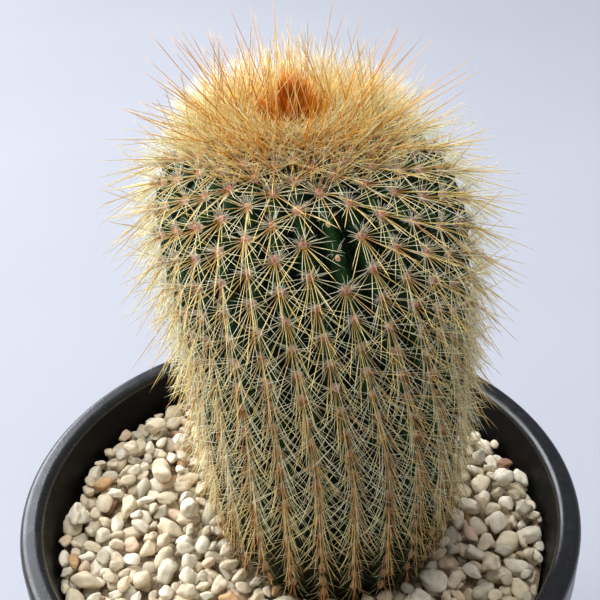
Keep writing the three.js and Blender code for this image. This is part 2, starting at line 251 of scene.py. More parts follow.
# The crown's spines, in rings outwards and then the fluff and the long ones: how many, between which radii,
# lean from upright in degrees, length, tone from rust to straw, thickness, steps, and how much longer they
# are at the back
CROWN_RINGS = [
    (190, (0, 1.5), (0, 3), (8, 10.2), (0, 0.06), (0.085, 0.115), FINE_STEPS, 0),
    (330, (1, 3.8), (3, 18), (4.6, 7), (0.02, 0.16), (0.085, 0.115), FINE_STEPS, 0),
    (440, (2.6, 5.8), (8, 28), (3, 4.8), (0.16, 0.42), (0.085, 0.11), FINE_STEPS, 0),
    (500, (3.8, 7.5), (14, 28), (1.6, 2.8), (0.4, 0.5), (0.08, 0.105), FINE_STEPS, 0),
    (1500, (6.5, 12.5), (16, 38), (2.6, 3.9), (0.46, 0.58), (0.075, 0.1), FINE_STEPS, 0.4),
    (2100, (9, 19.5), (28, 54), (3, 5), (0.66, 0.98), (0.062, 0.082), FINE_STEPS, 1.5),
    (900, (9, 20), (10, 60), (1.2, 2.4), (0.97, 0.99), (0.04, 0.06), HAIR_STEPS, 0),
    (84, (3.5, 16), (6, 58), (13, 21), (0.22, 0.45), (0.085, 0.11), STOUT_STEPS, 0),
]
CROWN_OUTLINE_POINTS = 120
CROWN_SUNK = 0.4
CROWN_TILT_VARIES = 6
CROWN_WAY_VARIES = 0.06
CROWN_TONE_VARIES = 0.07
CROWN_CURL = 0.04
# Painted shade: how much deeper gold the crown's front spines are than its paler back, as if lit from behind
PAINTED_FRONT_SHADE = 0.2

# Studio, in metres: each light's name, place, watts, width and colour
LIGHTS = [
    ("window", (-1.0, 0.15, 0.75), 12, 0.7, (1, 0.98, 0.95)),
    ("sky", (-0.1, 0.05, 1.3), 12, 0.8, (0.97, 0.98, 1)),
    ("fill", (0.7, -0.9, 0.5), 1.6, 0.8, (1, 0.97, 0.94)),
    ("far_wall", (-1.5, 1.8, 1.4), 80, 1.6, (0.9, 0.94, 1)),
]
LIGHT_AIM = (0, 0, 0.14)
BACKDROP_COLOUR = (0.86, 0.9, 1, 1)
BACKDROP_STRENGTH = 0.32
FLOOR_REACH = 4

# Camera, in metres, with its lens and sensor in millimetres
CAMERA_TILT = math.radians(32.4)
CAMERA_ROLL = math.radians(-2)
CAMERA_DISTANCE = 0.283
CAMERA_AIM = (0.0016, 0.076, 0.095)
CAMERA_LENS = 60
CAMERA_SENSOR = 36
CAMERA_NEAREST = 0.01


def unit(vectors):
    """The vectors, each one unit long."""
    return vectors / np.linalg.norm(vectors, axis=-1, keepdims=True)


def smoothstep(low, high, value):
    """0 below low, 1 above high, and a smooth rise between them."""
    share = np.clip((value - low) / (high - low), 0, 1)
    return share * share * (3 - 2 * share)


def colour(red, green, blue):
    """A linear RGBA colour from 0 to 255 sRGB values."""
    def linear(value):
        value /= 255
        return value / 12.92 if value <= 0.04045 else ((value + 0.055) / 1.055) ** 2.4
    return (linear(red), linear(green), linear(blue), 1)


def grey(value):
    """A linear RGBA grey, which also stands for a plain number in a ramp."""
    return (value, value, value, 1)


# Meshes ------------------------

class Batch:
    """Triangles for one mesh, each with its texture corners and its material, and a tint at each point."""

    def __init__(self):
        self.count = 0
        self.points, self.triangles, self.corners = [], [], []
        self.materials, self.tints = [], []

    def add(self, points, triangles, corners, material=0, tint=(1, 1, 1)):
        """Adds a shape. The material and the tint may be one for all of it."""
        self.points.append(points)
        self.triangles.append(triangles + self.count)
        self.corners.append(corners)
        self.materials.append(np.broadcast_to(material, len(triangles)))
        self.tints.append(np.broadcast_to(tint, (len(points), 3)))
        self.count += len(points)

    def build(self, name, materials, node):
        """Makes the piece, which stands for the CAD node or for a part of it."""
        points = np.concatenate(self.points) * MM
        triangles = np.concatenate(self.triangles).astype(np.int32)
        mesh = bpy.data.meshes.new(name)
        mesh.vertices.add(len(points))
        mesh.vertices.foreach_set("co", points.astype(np.float32).ravel())
        mesh.loops.add(triangles.size)
        mesh.loops.foreach_set("vertex_index", triangles.ravel())
        mesh.polygons.add(len(triangles))
        mesh.polygons.foreach_set("loop_start", np.arange(0, triangles.size, 3, dtype=np.int32))
        mesh.polygons.foreach_set("material_index", np.concatenate(self.materials).astype(np.int32))
        mesh.polygons.foreach_set("use_smooth", np.ones(len(triangles), dtype=bool))
        texture = mesh.uv_layers.new(name=UV_NAME)
        texture.data.foreach_set("uv", np.concatenate(self.corners).astype(np.float32).ravel())
        tints = np.concatenate(self.tints)
        shade = mesh.color_attributes.new(TINT_NAME, "FLOAT_COLOR", "POINT")
        shade.data.foreach_set("color", np.c_[tints, np.ones(len(tints))].astype(np.float32).ravel())
        for material in materials:
            mesh.materials.append(material)
        mesh.update(calc_edges=True)
        mesh.validate()
        piece = bpy.data.objects.new(name, mesh)
        bpy.context.scene.collection.objects.link(piece)
        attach(piece, "root")
        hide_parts(node)


def grid(points, around):
    """Triangles and texture corners of a grid of points; around joins the last column to the first."""
    rows, columns = points.shape[:2]
    spans = columns if around else columns - 1
    row, column = np.meshgrid(np.arange(rows - 1), np.arange(spans), indexing="ij")
    row, column = row.ravel(), column.ravel()
    here = row * columns + column
    beside = row * columns + (column + 1) % columns
    triangles = np.concatenate([
        np.stack([here, beside, beside + columns], 1),
        np.stack([here, beside + columns, here + columns], 1),
    ])
    left, right = column / spans, (column + 1) / spans
    low, high = row / (rows - 1), (row + 1) / (rows - 1)
    corners = np.concatenate([
        np.stack([left, low, right, low, right, high], 1),
        np.stack([left, low, right, high, left, high], 1),
    ]).reshape(-1, 3, 2)
    return points.reshape(-1, 3), triangles, corners


def rounded(outline):
    """A closed outline with its corners rounded off."""
    outline = np.array(outline, dtype=float)
    points = []
    for index, corner in enumerate(outline):
        before = outline[index - 1] - corner
        after = outline[(index + 1) % len(outline)] - corner
        reach = min(EDGE_ROUNDING, np.linalg.norm(before) / 2.2, np.linalg.norm(after) / 2.2)
        start = corner + unit(before) * reach
        end = corner + unit(after) * reach
        for step in np.linspace(0, 1, EDGE_STEPS):
            points.append((1 - step) ** 2 * start + 2 * step * (1 - step) * corner + step ** 2 * end)
    return np.array(points)


def needles(batch, material, base, way, bend, length, radius, column, steps=FINE_STEPS):
    """Tapered three-sided needles. The texture's column is each one's tone, and its rows run up it."""
    steps = np.array(steps)
    skew = (0.31, 0.17, 0.93)
    across = unit(np.cross(way, skew))
    other = np.cross(way, across)
    turn = np.arange(3) * 2 * math.pi / 3
    ring = np.cos(turn)[:, None] * across[:, None] + np.sin(turn)[:, None] * other[:, None]
    rise = way[:, None] * steps[:, None] + bend[:, None] * (steps ** 2)[:, None]
    centre = base[:, None] + length[:, None, None] * rise
    thick = radius[:, None] * (1 - NEEDLE_TAPER * steps ** 1.5)
    tube = centre[:, :, None] + thick[:, :, None, None] * ring[:, None]
    tip = base + length[:, None] * (way + bend)
    points = np.concatenate([tube.reshape(len(base), -1, 3), tip[:, None]], 1)

    triangles = [(0, 2, 1)]
    corners = [((0, 0), (1, 0), (0.5, 0.02))]
    for level in range(len(steps) - 1):
        low, high = steps[level], steps[level + 1]
        for side in range(3):
            here, beside = level * 3 + side, level * 3 + (side + 1) % 3
            triangles += [(here, beside, beside + 3), (here, beside + 3, here + 3)]
            corners += [((0, low), (1, low), (1, high)), ((0, low), (1, high), (0, high))]
    top = (len(steps) - 1) * 3
    for side in range(3):
        triangles.append((top + side, top + (side + 1) % 3, top + 3))
        corners.append(((0, steps[-1]), (1, steps[-1]), (0.5, 1)))
    offsets = np.arange(len(base)) * points.shape[1]
    triangles = np.array(triangles)[None] + offsets[:, None, None]
    corners = np.broadcast_to(np.array(corners, dtype=float), (len(base), len(corners), 3, 2)).copy()
    corners[..., 0] = column[:, None, None] + corners[..., 0] * COLUMN_WIDTH
    batch.add(points.reshape(-1, 3), triangles.reshape(-1, 3), corners.reshape(-1, 3, 2), material)


# Materials ---------------------

def new_material(name, roughness, specular):
    """A material, its nodes and its shader."""
    material = bpy.data.materials.new(name)
    material.use_nodes = True
    tree = material.node_tree
    shader = tree.nodes["Principled BSDF"]
    shader.inputs["Roughness"].default_value = roughness
    shader.inputs["Specular IOR Level"].default_value = specular
    return material, tree, shader


def ramp(tree, factor, stops):
    """A colour that follows the factor through the stops."""
    node = tree.nodes.new("ShaderNodeValToRGB")
    elements = node.color_ramp.elements
    while len(elements) < len(stops):
        elements.new(0.5)
    for element, (position, shade) in zip(elements, stops):
        element.position = position
        element.color = shade
    tree.links.new(factor, node.inputs["Fac"])
    return node.outputs["Color"]


def mixed(tree, factor, first, second, blend="MIX"):
    """Two colours mixed by a factor; each may be a socket or a value."""
    node = tree.nodes.new("ShaderNodeMix")
    node.data_type = "RGBA"
    node.blend_type = blend
    for socket, value in ((node.inputs[0], factor), (node.inputs[6], first), (node.inputs[7], second)):
        if isinstance(value, bpy.types.NodeSocket):
            tree.links.new(value, socket)
        else:
            socket.default_value = value
    return node.outputs[2]


def noise(tree, scale, detail=4, roughness=0.55):
    """Noise over the object, with its scale in waves per metre."""
    place = tree.nodes.new("ShaderNodeTexCoord")
    node = tree.nodes.new("ShaderNodeTexNoise")
    for name, value in (("Scale", scale), ("Detail", detail), ("Roughness", roughness)):
        node.inputs[name].default_value = value
    tree.links.new(place.outputs["Object"], node.inputs["Vector"])
    return node.outputs["Fac"]


def bumped(tree, shader, height, strength, distance):
    """Roughens the surface by a height, with the distance in metres."""
    node = tree.nodes.new("ShaderNodeBump")
    node.inputs["Strength"].default_value = strength
    node.inputs["Distance"].default_value = distance
    tree.links.new(height, node.inputs["Height"])
    tree.links.new(node.outputs["Normal"], shader.inputs["Normal"])


def point_tint(tree):
    """The tint that the mesh has at each point."""
    tint = tree.nodes.new("ShaderNodeVertexColor")
    tint.layer_name = TINT_NAME
    return tint.outputs["Color"]


def texture_axes(tree):
    """The texture's column and row."""
    place = tree.nodes.new("ShaderNodeUVMap")
    place.uv_map = UV_NAME
    split = tree.nodes.new("ShaderNodeSeparateXYZ")
    tree.links.new(place.outputs["UV"], split.inputs["Vector"])
    return split.outputs["X"], split.outputs["Y"]


def fibre_material(name, columns, base_shades, tip_shades, change):
    """Fibres with a shade for each of the texture's columns, which changes from base to tip up each fibre."""
    material, tree, shader = new_material(name, 0.55, 0.2)
    column, row = texture_axes(tree)
    low, high = change
    share = ramp(tree, row, [(low, grey(0)), (high, grey(1))])
    base = ramp(tree, column, [(stop, colour(*shade)) for stop, shade in zip(columns, base_shades)])
    tip = ramp(tree, column, [(stop, colour(*shade)) for stop, shade in zip(columns, tip_shades)])
    shade = mixed(tree, share, base, tip)
    tree.links.new(shade, shader.inputs["Base Color"])
    return material


def pot_material(name, smooth, rough, specular, pale):
    """Black plastic, smooth in some places and rough in others, with a little dust; pale lightens it all."""
    def tone(red, green, blue):
        return colour(pale * red, pale * green, pale * blue)

    material, tree, shader = new_material(name, rough, specular)
    cloud = noise(tree, 60)
    dust = ramp(tree, noise(tree, 900, 6), [(0.55, grey(0)), (0.78, grey(0.3))])
    black = mixed(tree, cloud, tone(6, 6, 7), tone(11, 11, 12))
    tree.links.new(mixed(tree, dust, black, tone(30, 30, 29)), shader.inputs["Base Color"])
    wear = ramp(tree, noise(tree, 240, 5), [(0.3, grey(smooth)), (0.75, grey(rough))])
    tree.links.new(wear, shader.inputs["Roughness"])
    bumped(tree, shader, noise(tree, 1600, 3), 0.25, 0.00008)
    return material


def stem_material():
    """Cloudy green skin, darkened by the mesh's tint of painted shade and cork, with fine pale specks."""
    material, tree, shader = new_material("stem_skin", 0.5, 0.16)
    tint = point_tint(tree)
    cloud = noise(tree, 220, 5)
    green = mixed(tree, cloud, colour(9, 36, 11), colour(27, 76, 22))
    # The tint multiplies in painted shade, dark in the valleys and low down, and the real cork colour
    shade = mixed(tree, 1.0, green, tint, "MULTIPLY")
    speck = ramp(tree, noise(tree, 2600, 3), [(0.6, grey(0)), (0.72, grey(0.5))])
    tree.links.new(mixed(tree, speck, shade, colour(120, 140, 96)), shader.inputs["Base Color"])
    bumped(tree, shader, noise(tree, 1300, 4), 0.4, 0.00015)
    return material


def stone_material(name):
    """Matt stone in the mesh's tint, with faint veins and small tan pits."""
    material, tree, shader = new_material(name, 0.68, 0.35)
    tint = point_tint(tree)
    veins = ramp(tree, noise(tree, 520, 6, 0.65), [(0.3, (0.8, 0.76, 0.7, 1)), (0.62, (1.06, 1.05, 1.02, 1))])
    shade = mixed(tree, 1.0, tint, veins, "MULTIPLY")
    pits = ramp(tree, noise(tree, 2400, 4), [(0.3, grey(0.5)), (0.4, grey(0))])
    tree.links.new(mixed(tree, pits, shade, colour(176, 150, 116)), shader.inputs["Base Color"])
    bumped(tree, shader, noise(tree, 900, 6, 0.6), 0.55, 0.0003)
    return material


def grit_material(name, dark, light):
    """Coarse grains from a dark to a light colour."""
    material, tree, shader = new_material(name, 0.9, 0.2)
    grains = noise(tree, 1100, 6, 0.7)
    shade = ramp(tree, grains, [(0.35, dark), (0.7, light)])
    tree.links.new(shade, shader.inputs["Base Color"])
    bumped(tree, shader, grains, 0.8, 0.0008)
    return material


FIBRES = [
    fibre_material(
        "radial_spines", (0, 0.18, 0.34, 0.5),
        [(232, 206, 160), (216, 164, 92), (204, 144, 72), (64, 46, 26)],
        [(255, 254, 232), (252, 244, 188), (242, 222, 150), (104, 80, 46)],
        (0.04, 0.3),
    ),
    fibre_material(
        "central_spines", (0.5, 0.63, 0.75),
        [(214, 172, 74), (192, 104, 46), (136, 66, 32)],
        [(252, 230, 142), (240, 202, 126), (196, 134, 78)],
        (0.05, 0.7),
    ),
    fibre_material(
        "areole_wool", (0.76, 0.8, 0.86, 0.92),
        [(196, 104, 72), (178, 92, 50), (250, 232, 212), (206, 116, 66)],
        [(240, 202, 178), (196, 148, 100), (255, 253, 240), (238, 206, 160)],
        (0.15, 0.6),
    ),
]


# Pot ---------------------------

def inner_radius(height):
    """The radius of the pot's inside at a height."""
    return LIP_RADIUS - LIP_WIDTH - WALL_TAPER * (POT_HEIGHT - height)


def make_pot():
    """Turns the pot's outline around its axis."""
    under_lip = POT_HEIGHT - LIP_THICKNESS
    foot_outer = inner_radius(0) + WALL
    arc = np.radians(np.linspace(0, 90, LIP_STEPS))
    over = POT_HEIGHT - LIP_ROUNDING
    outer_arc = np.c_[
        LIP_RADIUS - LIP_ROUNDING + LIP_ROUNDING * np.cos(arc),
        over + LIP_ROUNDING * np.sin(arc),
    ]
    inner_arc = np.c_[
        LIP_RADIUS - LIP_WIDTH + LIP_ROUNDING - LIP_ROUNDING * np.sin(arc),
        over + LIP_ROUNDING * np.cos(arc),
    ]
    outline = [
        (DRAIN_RADIUS, FLOOR_TOP),
        (DRAIN_RADIUS, FOOT_HEIGHT),
        (foot_outer - FOOT_WIDTH, FOOT_HEIGHT),
        (foot_outer - FOOT_WIDTH, 0),
        (foot_outer, 0),
        (inner_radius(OUTER_WALL_RING) + WALL, OUTER_WALL_RING),
        (inner_radius(under_lip) + WALL, under_lip),
        (LIP_RADIUS - WALL, under_lip),
        (LIP_RADIUS - WALL, POT_HEIGHT - SKIRT_DEPTH),
        (LIP_RADIUS, POT_HEIGHT - SKIRT_DEPTH),
        *outer_arc,
        *inner_arc,
        (inner_radius(INNER_WALL_RING), INNER_WALL_RING),
        (inner_radius(FLOOR_TOP + FLOOR_COVE), FLOOR_TOP + FLOOR_COVE),
        (inner_radius(FLOOR_TOP) - FLOOR_COVE, FLOOR_TOP),
    ]
    outline = rounded(outline)
    outline = np.vstack([outline, outline[:1]])
    turn = np.linspace(0, 2 * math.pi, POT_SIDES, endpoint=False)
    points = np.stack([
        outline[:, None, 0] * np.cos(turn),
        outline[:, None, 0] * np.sin(turn),
        np.repeat(outline[:, None, 1], len(turn), 1),
    ], -1)
    points, triangles, corners = grid(points, True)
    middles = points[triangles].mean(1)
    away = np.hypot(middles[:, 0], middles[:, 1])
    # The inner wall takes the darker copy of the plastic, which is painted shade
    inside = (away < LIP_RADIUS - LIP_WIDTH) & (middles[:, 2] > FLOOR_TOP)
    inside &= away < inner_radius(middles[:, 2]) + WALL / 2
    batch = Batch()
    batch.add(points, triangles, corners, inside.astype(int))
    outside_material = pot_material("pot_black_plastic", **OUTSIDE_FINISH)
    shaded_inside_material = pot_material("pot_inside_shaded_plastic", **SHADED_INSIDE_FINISH)
    batch.build("pot_body", [outside_material, shaded_inside_material], "pot")


# Stem --------------------------

def outline_table():
    """Distance up the crest outline, radius and height above the gravel, finely spaced."""
    knots = np.array(STEM_OUTLINE, dtype=float)
    padded = np.vstack([knots[:1], knots, knots[-1:]])
    share = np.linspace(0, 1, OUTLINE_STEPS, endpoint=False)[:, None]
    pieces = []
    for before, start, end, after in zip(padded, padded[1:], padded[2:], padded[3:]):
        pull = (end - before) / 2
        push = (after - start) / 2
        pieces.append((2 * start - 2 * end + pull + push) * share ** 3
                      + (3 * end - 3 * start - 2 * pull - push) * share ** 2 + pull * share + start)
    curve = np.vstack([*pieces, knots[-1:]])
    distance = np.r_[0, np.cumsum(np.hypot(*np.diff(curve, axis=0).T))]
    return (
        np.r_[-BURIED_DEPTH, distance],
        np.r_[curve[0, 0] - BURIED_NARROWING, curve[:, 0]],
        np.r_[-BURIED_DEPTH, curve[:, 1]],
    )


TABLE_DISTANCE, TABLE_RADIUS, TABLE_HEIGHT = outline_table()
OUTLINE_LENGTH = TABLE_DISTANCE[-1]


def chance(index, channel):
    """A number from 0 to 1 that looks random, the same as the CAD's."""
    value = math.sin(index * 12.9898 + channel * 78.233) * 43758.5453
    return value - math.floor(value)


def rib_starts():
    """The distance up the outline at which each rib starts, in turn around the stem."""
    starts = []
    for index in range(BASE_RIB_COUNT):
        starts.append(0)
        if index in NEW_RIB_FOLLOWS:
            born = NEW_RIB_FOLLOWS.index(index)
            starts.append(NEW_RIB_START + NEW_RIB_SPREAD * (chance(born, NEW_RIB_CHANNEL) - 0.5))
    return np.array(starts)


RIB_START = rib_starts()
RIB_COUNT = len(RIB_START)


def rib_turns(distance):
    """Crest angle, valley angle and width of every rib at each distance."""
    distance = np.asarray(distance, dtype=float)[..., None]
    grown = smoothstep(RIB_START, RIB_START + NEW_RIB_GROWTH, distance)
    width = np.where(RIB_START == 0, 1, NEW_RIB_SEED + (1 - NEW_RIB_SEED) * grown)
    reached = np.cumsum(width, -1) - width[..., :1] / 2
    scale = 2 * math.pi / width.sum(-1, keepdims=True)
    closeness = FRONT_CLOSENESS * smoothstep(*FRONT_CLOSING, distance)

    def turn(share):
        return FIRST_RIB_TURN + share * scale - closeness * np.sin(share * scale)

    return turn(reached - width / 2), turn(reached), width


def around_stem(turn, radius, height):
    """Points at a radius around the stem's middle, at a height above the gravel."""
    rise = np.maximum(height, 0) / STEM_HEIGHT
    x = STEM_MIDDLE[0] - STEM_LEAN * rise ** 3 + radius * np.cos(turn)
    y = STEM_MIDDLE[1] + radius * np.sin(turn)
    return np.stack(np.broadcast_arrays(x, y, GRAVEL_TOP + height), -1)


def on_crest(index, distance):
    """The point on a rib's crest at each distance."""
    turn = rib_turns(distance)[0][..., index]
    radius = np.interp(distance, TABLE_DISTANCE, TABLE_RADIUS)
    return around_stem(turn, radius, np.interp(distance, TABLE_DISTANCE, TABLE_HEIGHT))


def crest_frame(index, distance):
    """A crest point with the directions beside the rib, up along it and out of the stem."""
    nearby = 0.4
    point = on_crest(index, distance)
    along = unit(on_crest(index, distance + nearby) - on_crest(index, distance - nearby))
    turn = rib_turns(distance)[0][index]
    side = np.array([-math.sin(turn), math.cos(turn), 0])
    side = unit(side - along * np.dot(side, along))
    return point, side, along, np.cross(side, along)


def areoles_of(index):
    """The distances at which a rib carries areoles, closer together near the crown."""
    def pitch(distance):
        return np.interp(distance, AREOLE_DISTANCES, AREOLE_PITCHES)

    anchor = BARE_AREOLES[0]
    if index != BARE_RIB:
        anchor += AREOLE_STAGGER * ((index - BARE_RIB) % 2) + rng.uniform(-AREOLE_JITTER, AREOLE_JITTER)
    lowest = LOWEST_AREOLE
    if RIB_START[index] > 0:
        lowest = RIB_START[index] + NEW_RIB_BARE_SHARE * NEW_RIB_GROWTH
    distances = []
    here = anchor
    while here > lowest:
        distances.append(here)
        here -= pitch(here)
    here = anchor + pitch(anchor)
    while here < OUTLINE_LENGTH - HIGHEST_AREOLE_GAP:
        distances.append(here)
        here += pitch(here)
    return np.sort(distances)


AREOLES = [areoles_of(index) for index in range(RIB_COUNT)]


def make_stem():
    """The ribbed skin, swollen under the areoles and corky at the base, with shade painted in its valleys and
    low down.
    """
    levels = np.linspace(-BURIED_DEPTH, OUTLINE_LENGTH, STEM_LEVELS)
    radius = np.interp(levels, TABLE_DISTANCE, TABLE_RADIUS)[:, None]
    height = np.interp(levels, TABLE_DISTANCE, TABLE_HEIGHT)[:, None]
    crest, valley, width = rib_turns(levels)
    depth = RIB_DEPTH * np.minimum(1, radius / SHOULDER_RADIUS) ** CROWN_FLATTENING
    depth = depth * np.clip(GRAVEL_DEPTH_SHARE + height / DEPTH_RISE, LEAST_DEPTH_SHARE, 1)
    columns = []
    relief = []
    for index in range(RIB_COUNT):
        before = valley[:, [index - 1]] - (2 * math.pi if index == 0 else 0)
        here, after = crest[:, [index]], valley[:, [index]]
        across = np.linspace(-1, 1, RIB_COLUMNS, endpoint=False)[None, :]
        turn = np.where(across < 0, here + across * (here - before), here + across * (after - here))
        phase = np.interp(levels, AREOLES[index], np.arange(len(AREOLES[index])))[:, None]
        swell = AREOLE_SWELL * np.cos(2 * math.pi * phase) * (1 - across ** 2)
        swell = swell * smoothstep(*SWELL_ZONE, levels)[:, None] * np.minimum(1, radius / SWELL_RADIUS)
        beside = np.abs(across)
        drop = depth * (NEW_RIB_DROP * (1 - width[:, [index]]) * (1 - beside) + beside ** RIB_ROUNDNESS)
        columns.append(around_stem(turn, np.maximum(radius - drop + swell, 0), height))
        relief.append(1 - drop / RIB_DEPTH)
    points = np.concatenate(columns, 1)
    relief = np.concatenate(relief, 1)
    cork = 1 - smoothstep(*CORK_ZONE, levels)[:, None]
    # Painted shade: the valleys dark and the crests lighter, the skin darker towards the gravel; the cork is
    # real
    shade = VALLEY_PAINTED_SHADE + CREST_PAINTED_LIGHT * np.clip(relief, 0, 1) ** CREST_PAINTED_LIGHT_POWER
    shade = shade * (BASE_PAINTED_SHADE + UPPER_PAINTED_SHADE * smoothstep(*BASE_PAINTED_SHADE_ZONE, levels)[:, None])
    tint = np.stack([shade * (1 + share * cork) for share in CORK_TINT], -1)
    batch = Batch()
    batch.add(*grid(points, True), tint=tint.reshape(-1, 3))
    batch.build("stem_body", [stem_material()], "stem")


# Spines ------------------------

def cushion(batch, point, side, along, normal, size, column):
    """The small mound of felt from which an areole's spines grow."""
    shares = CUSHION_SHARES
    rings = len(shares)
    turn = np.arange(CUSHION_SIDES) * 2 * math.pi / CUSHION_SIDES
    ragged = 1 + rng.uniform(-CUSHION_RAGGED, CUSHION_RAGGED, (rings, CUSHION_SIDES))
    uneven = rng.uniform(-CUSHION_UNEVEN, CUSHION_UNEVEN, (rings, CUSHION_SIDES))
    reach = np.array(shares)[:, None] * ragged
    rise = np.array(CUSHION_RISES)[:, None] + uneven
    ring = (
        side * (np.cos(turn) * reach * size[0])[..., None]
        + along * (np.sin(turn) * reach * size[1])[..., None]
        + normal * (rise * size[2])[..., None]
    )
    points = np.vstack([(point + normal * size[2])[None], (point + ring).reshape(-1, 3)])
    triangles = []
    corners = []
    left, right = column, column + COLUMN_WIDTH
    for index in range(CUSHION_SIDES):
        beside = (index + 1) % CUSHION_SIDES
        triangles.append((0, 1 + index, 1 + beside))
        corners.append(((left, 0), (left, shares[0]), (right, shares[0])))
        for level in range(rings - 1):
            here, there = 1 + level * CUSHION_SIDES + index, 1 + level * CUSHION_SIDES + beside
            above, beyond = here + CUSHION_SIDES, there + CUSHION_SIDES
            low, high = shares[level], shares[level + 1]
            triangles += [(here, above, beyond), (here, beyond, there)]
            corners += [
                ((left, low), (left, high), (right, high)),
                ((left, low), (right, high), (right, low)),
            ]
    batch.add(points, np.array(triangles), np.array(corners), WOOL)


def below_ceiling(base, way, length):
    """Shortens spines that would reach above the highest point allowed."""
    room = HIGHEST_SPINE - base[:, 2]
    return np.where(way[:, 2] * length > room, room / np.maximum(way[:, 2], 0.01), length)


def fanned(turn, lift, side, along, normal):
    """Directions flat on the surface, turned from along towards the side, and the same lifted off it."""
    flat = np.sin(turn)[:, None] * side + np.cos(turn)[:, None] * along
    return flat, np.cos(lift)[:, None] * flat + np.sin(lift)[:, None] * normal


def roots(point, normal, flat, out):
    """Where spines stand: just above the crest, and a little out from the areole's middle."""
    return point + normal * SPINE_SEAT + flat * rng.uniform(*out, len(flat))[:, None]


def texture_column(columns, tone):
    """The texture's column for a tone from 0 to 1."""
    start, width = columns
    return start + width * np.clip(tone, 0, 1)


def radial_spines(batch, distance, point, side, along, normal):
    """The fan of fine spines that spreads over the ribs and the valleys.

    Here and in central_spines, low, upper and crown rise to 1 at the stem's base, shoulder and crown, and the
    number beside each is what changes there.
    """
    upper = smoothstep(*RADIAL_UPPER_ZONE, distance)
    crown = smoothstep(*RADIAL_CROWN_ZONE, distance)
    low = 1 - smoothstep(*RADIAL_BASE_ZONE, distance)
    count = int(17 - 4 * upper - 10 * low + 5 * crown)
    turn = 2 * (np.arange(count) + 0.5 + rng.uniform(-0.3, 0.3, count)) / count - 1
    turn = turn * math.pi * (0.4 + 0.2 * upper + 0.2 * crown)
    lift = np.radians(5 + 34 * rng.uniform(0, 1, count) ** 1.6 + 17 * upper + 12 * crown)
    flat, way = fanned(turn, lift, side, -along, normal)
    length = (9.2 - 1.4 * upper - 4.6 * low) * (0.5 + 0.5 * np.cos(turn / 1.6))
    length = below_ceiling(point[None], way, length * rng.uniform(0.84, 1.14, count))
    droop = -RADIAL_DROOP * normal * rng.uniform(0, 1, count)[:, None]
    bend = droop + rng.normal(0, RADIAL_CURL, (count, 3))
    base = roots(point, normal, flat, RADIAL_OUT)
    # The darker, browner tone low on the stem is partly the older spines' own colour and partly painted shade
    tone = rng.normal(0.3 + 0.66 * low + 0.3 * crown, 0.12, count)
    column = texture_column(RADIAL_COLUMNS, tone)
    radius = rng.uniform(*RADIAL_THICKNESS, count)
    needles(batch, RADIAL, base, unit(way), bend, length, radius, column)


def upper_radials(batch, distance, point, side, along, normal):
    """The short, pale and fine spines on an areole's upper side."""
    count = int(2 + 4 * smoothstep(*PALE_UPPER_ZONE, distance))
    turn = rng.uniform(-1.5, 1.5, count)
    lift = np.radians(rng.uniform(15, 55, count))
    flat, way = fanned(turn, lift, side, along, normal)
    base = roots(point, normal, flat, PALE_OUT)
    length = below_ceiling(point[None], way, rng.uniform(1.8, 3.8, count))
    bend = rng.normal(0, PALE_CURL, (count, 3))
    radius = rng.uniform(*PALE_THICKNESS, count)
    column = rng.uniform(*PALE_COLUMNS, count)
    needles(batch, RADIAL, base, way, bend, length, radius, column)


def central_spines(batch, distance, point, side, along, normal):
    """The few stouter spines in the middle of an areole."""
    most = len(CENTRAL_TURNS)
    upper = smoothstep(*CENTRAL_UPPER_ZONE, distance)
    crown = smoothstep(*CENTRAL_CROWN_ZONE, distance)
    low = 1 - smoothstep(*CENTRAL_BASE_ZONE, distance)
    turn = np.array(CENTRAL_TURNS) * (0.35 + 0.85 * upper) + rng.normal(0, 0.14, most)
    turn[3:] += math.pi * 0.35 * np.sign(turn[3:]) * upper
    lift = np.radians(np.array(CENTRAL_LIFTS) + 26 * upper + rng.normal(0, 8, most))
    flat, way = fanned(turn, lift, side, -along, normal)
    way = unit(way)
    length = np.array(CENTRAL_LENGTHS) * (1 - 0.5 * low) + crown * np.array(CENTRAL_CROWN_LENGTHS)
    length = below_ceiling(point[None], way, length * rng.uniform(0.8, 1.15, most))
    bend = rng.normal(0, CENTRAL_CURL, (most, 3)) - CENTRAL_DROOP * normal
    base = point + normal * CENTRAL_SEAT + flat * CENTRAL_OUT
    # The darker, browner tone low on the stem is partly the older spines' own colour and partly painted shade
    tone = rng.normal(0.12 + 0.4 * low + 0.3 * (1 - upper) + 0.3 * crown, 0.13, most)
    column = texture_column(CENTRAL_COLUMNS, tone)
    radius = rng.uniform(*CENTRAL_THICKNESS, most)
    keep = np.arange(most) < rng.integers(3, 5) - int(2 * low)
    if crown > 0.3:
        keep[1:] = rng.uniform(size=most - 1) < 0.5
    kept = (values[keep] for values in (base, way, bend, length, radius, column))
    needles(batch, CENTRAL, *kept, STOUT_STEPS)


def wool_hairs(batch, count, point, side, along, normal, reach):
    """Short, frizzy white hairs, mostly on the areole's upper side."""
    turn = rng.normal(0, 1.5, count)
    lift = np.radians(rng.uniform(5, 70, count))
    flat, way = fanned(turn, lift, side, along, normal)
    base = roots(point, normal, flat, HAIR_OUT)
    bend = rng.normal(0, HAIR_CURL, (count, 3))
    length = reach * rng.uniform(0.45, 1.1, count) * (0.75 + 0.25 * np.cos(turn))
    radius = rng.uniform(*HAIR_THICKNESS, count)
    needles(batch, WOOL, base, unit(way), bend, length, radius, np.full(count, WOOL_WHITE), HAIR_STEPS)


